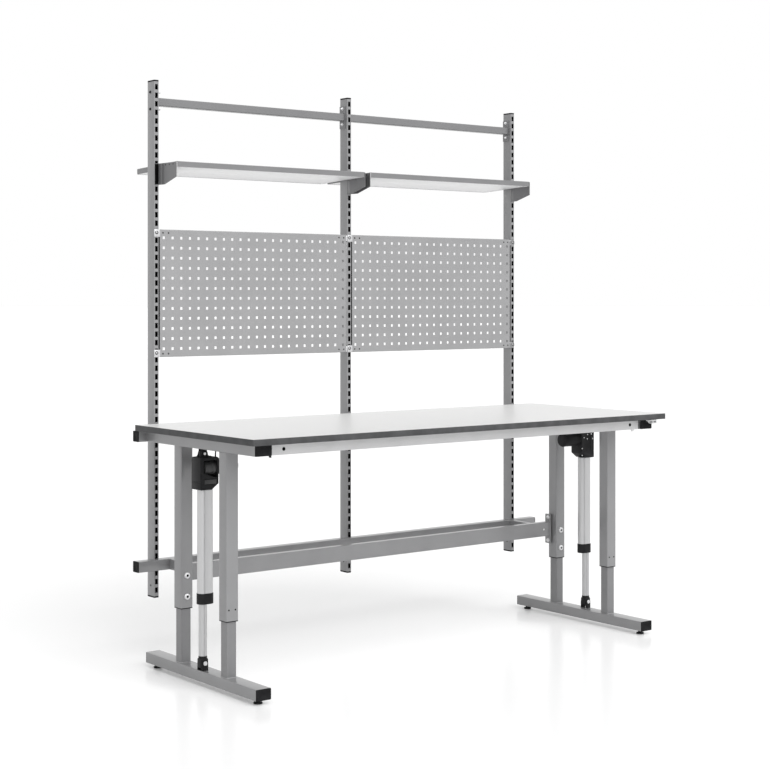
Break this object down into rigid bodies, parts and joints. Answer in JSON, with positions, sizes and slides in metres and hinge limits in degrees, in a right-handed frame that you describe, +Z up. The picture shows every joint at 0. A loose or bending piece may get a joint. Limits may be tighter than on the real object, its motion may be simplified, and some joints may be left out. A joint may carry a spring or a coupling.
{
  "type": "height-adjustable workbench",
  "caption": "Electric height-adjustable workbench with telescoping legs, slotted rear uprights, perforated tool panels and tilted shelves.",
  "frame": {"origin": "centre of the bounding box on the floor, between the four levelling glides' standing faces", "axes": "+Z up, +X to the right of a person who stands at the bench, +Y from the front edge to the uprights"},
  "size_m": [2, 0.9894, 2.189],
  "materials": {
    "grey_paint": "satin grey powder coat",
    "light_grey_paint": "satin light grey powder coat",
    "laminate": "pale grey laminate on a wood core",
    "dark_edge_band": "dark grey edge band",
    "black_plastic": "black satin plastic",
    "anodised_aluminium": "satin anodised",
    "zinc_plated_steel": "bright zinc plate",
    "bright_steel": "bright turned steel"
  },
  "bodies": {
    "left_foot": {"left_foot_beam": "grey_paint", "left_foot_front_plug": "black_plastic", "left_foot_rear_plug": "black_plastic", "left_front_inner_leg": "grey_paint", "left_rear_inner_leg": "grey_paint", "left_rod": "anodised_aluminium", "left_rod_eye": "black_plastic", "left_foot_pin": "zinc_plated_steel"},
    "right_foot": {"right_foot_beam": "grey_paint", "right_foot_front_plug": "black_plastic", "right_foot_rear_plug": "black_plastic", "right_front_inner_leg": "grey_paint", "right_rear_inner_leg": "grey_paint", "right_rod": "anodised_aluminium", "right_rod_eye": "black_plastic", "right_foot_pin": "zinc_plated_steel"},
    "left_front_levelling_foot": {"left_front_glide": "black_plastic"},
    "left_rear_levelling_foot": {"left_rear_glide": "black_plastic"},
    "right_front_levelling_foot": {"right_front_glide": "black_plastic"},
    "right_rear_levelling_foot": {"right_rear_glide": "black_plastic"},
    "down_key": {"down_button": "black_plastic"},
    "up_key": {"up_button": "black_plastic"},
    "upper_frame": {"left_side_beam": "grey_paint", "right_side_beam": "grey_paint", "left_front_outer_leg": "grey_paint", "left_rear_outer_leg": "grey_paint", "right_front_outer_leg": "grey_paint", "right_rear_outer_leg": "grey_paint", "crossbeam": "grey_paint", "left_rail_arm": "grey_paint", "right_rail_arm": "grey_paint", "upper_rear_rail": "grey_paint", "lower_rear_rail": "grey_paint", "left_upright": "grey_paint", "middle_upright": "grey_paint", "right_upright": "grey_paint", "left_top_rail": "grey_paint", "right_top_rail": "grey_paint", "left_shelf": "grey_paint", "right_shelf": "grey_paint", "left_shelf_outer_bracket": "grey_paint", "left_shelf_inner_bracket": "grey_paint", "right_shelf_inner_bracket": "grey_paint", "right_shelf_outer_bracket": "grey_paint", "front_rail": "light_grey_paint", "left_tool_panel": "light_grey_paint", "right_tool_panel": "light_grey_paint", "worktop": "laminate", "worktop_edge_band": "dark_edge_band", "left_side_beam_plug": "black_plastic", "right_side_beam_plug": "black_plastic", "left_actuator_head": "black_plastic", "right_actuator_head": "black_plastic", "control_box": "black_plastic", "left_motor_lead": "black_plastic", "left_actuator_tube": "anodised_aluminium", "right_actuator_tube": "anodised_aluminium", "handset": "anodised_aluminium", "left_spindle": "bright_steel", "right_spindle": "bright_steel"}
  },
  "joints": [
    {"name": "lift", "type": "slide", "parent": "left_foot", "child": "upper_frame", "axis": [0, 0, 1], "range_m": [-0.175, 0.175]},
    {"name": "right_lift", "type": "slide", "parent": "upper_frame", "child": "right_foot", "axis": [0, 0, -1], "range_m": [-0.175, 0.175]},
    {"name": "left_front_levelling", "type": "slide", "parent": "left_foot", "child": "left_front_levelling_foot", "axis": [0, 0, -1], "range_m": [0, 0.01]},
    {"name": "left_rear_levelling", "type": "slide", "parent": "left_foot", "child": "left_rear_levelling_foot", "axis": [0, 0, -1], "range_m": [0, 0.01]},
    {"name": "right_front_levelling", "type": "slide", "parent": "right_foot", "child": "right_front_levelling_foot", "axis": [0, 0, -1], "range_m": [0, 0.01]},
    {"name": "right_rear_levelling", "type": "slide", "parent": "right_foot", "child": "right_rear_levelling_foot", "axis": [0, 0, -1], "range_m": [0, 0.01]},
    {"name": "down_press", "type": "slide", "parent": "upper_frame", "child": "down_key", "axis": [0, 1, 0], "range_m": [0, 0.0015], "stiffness_N_per_m": 2000},
    {"name": "up_press", "type": "slide", "parent": "upper_frame", "child": "up_key", "axis": [0, 1, 0], "range_m": [0, 0.0015], "stiffness_N_per_m": 2000}
  ],
  "couplings": [
    {"joint": "right_lift", "follows": "lift", "ratio": 1}
  ]
}
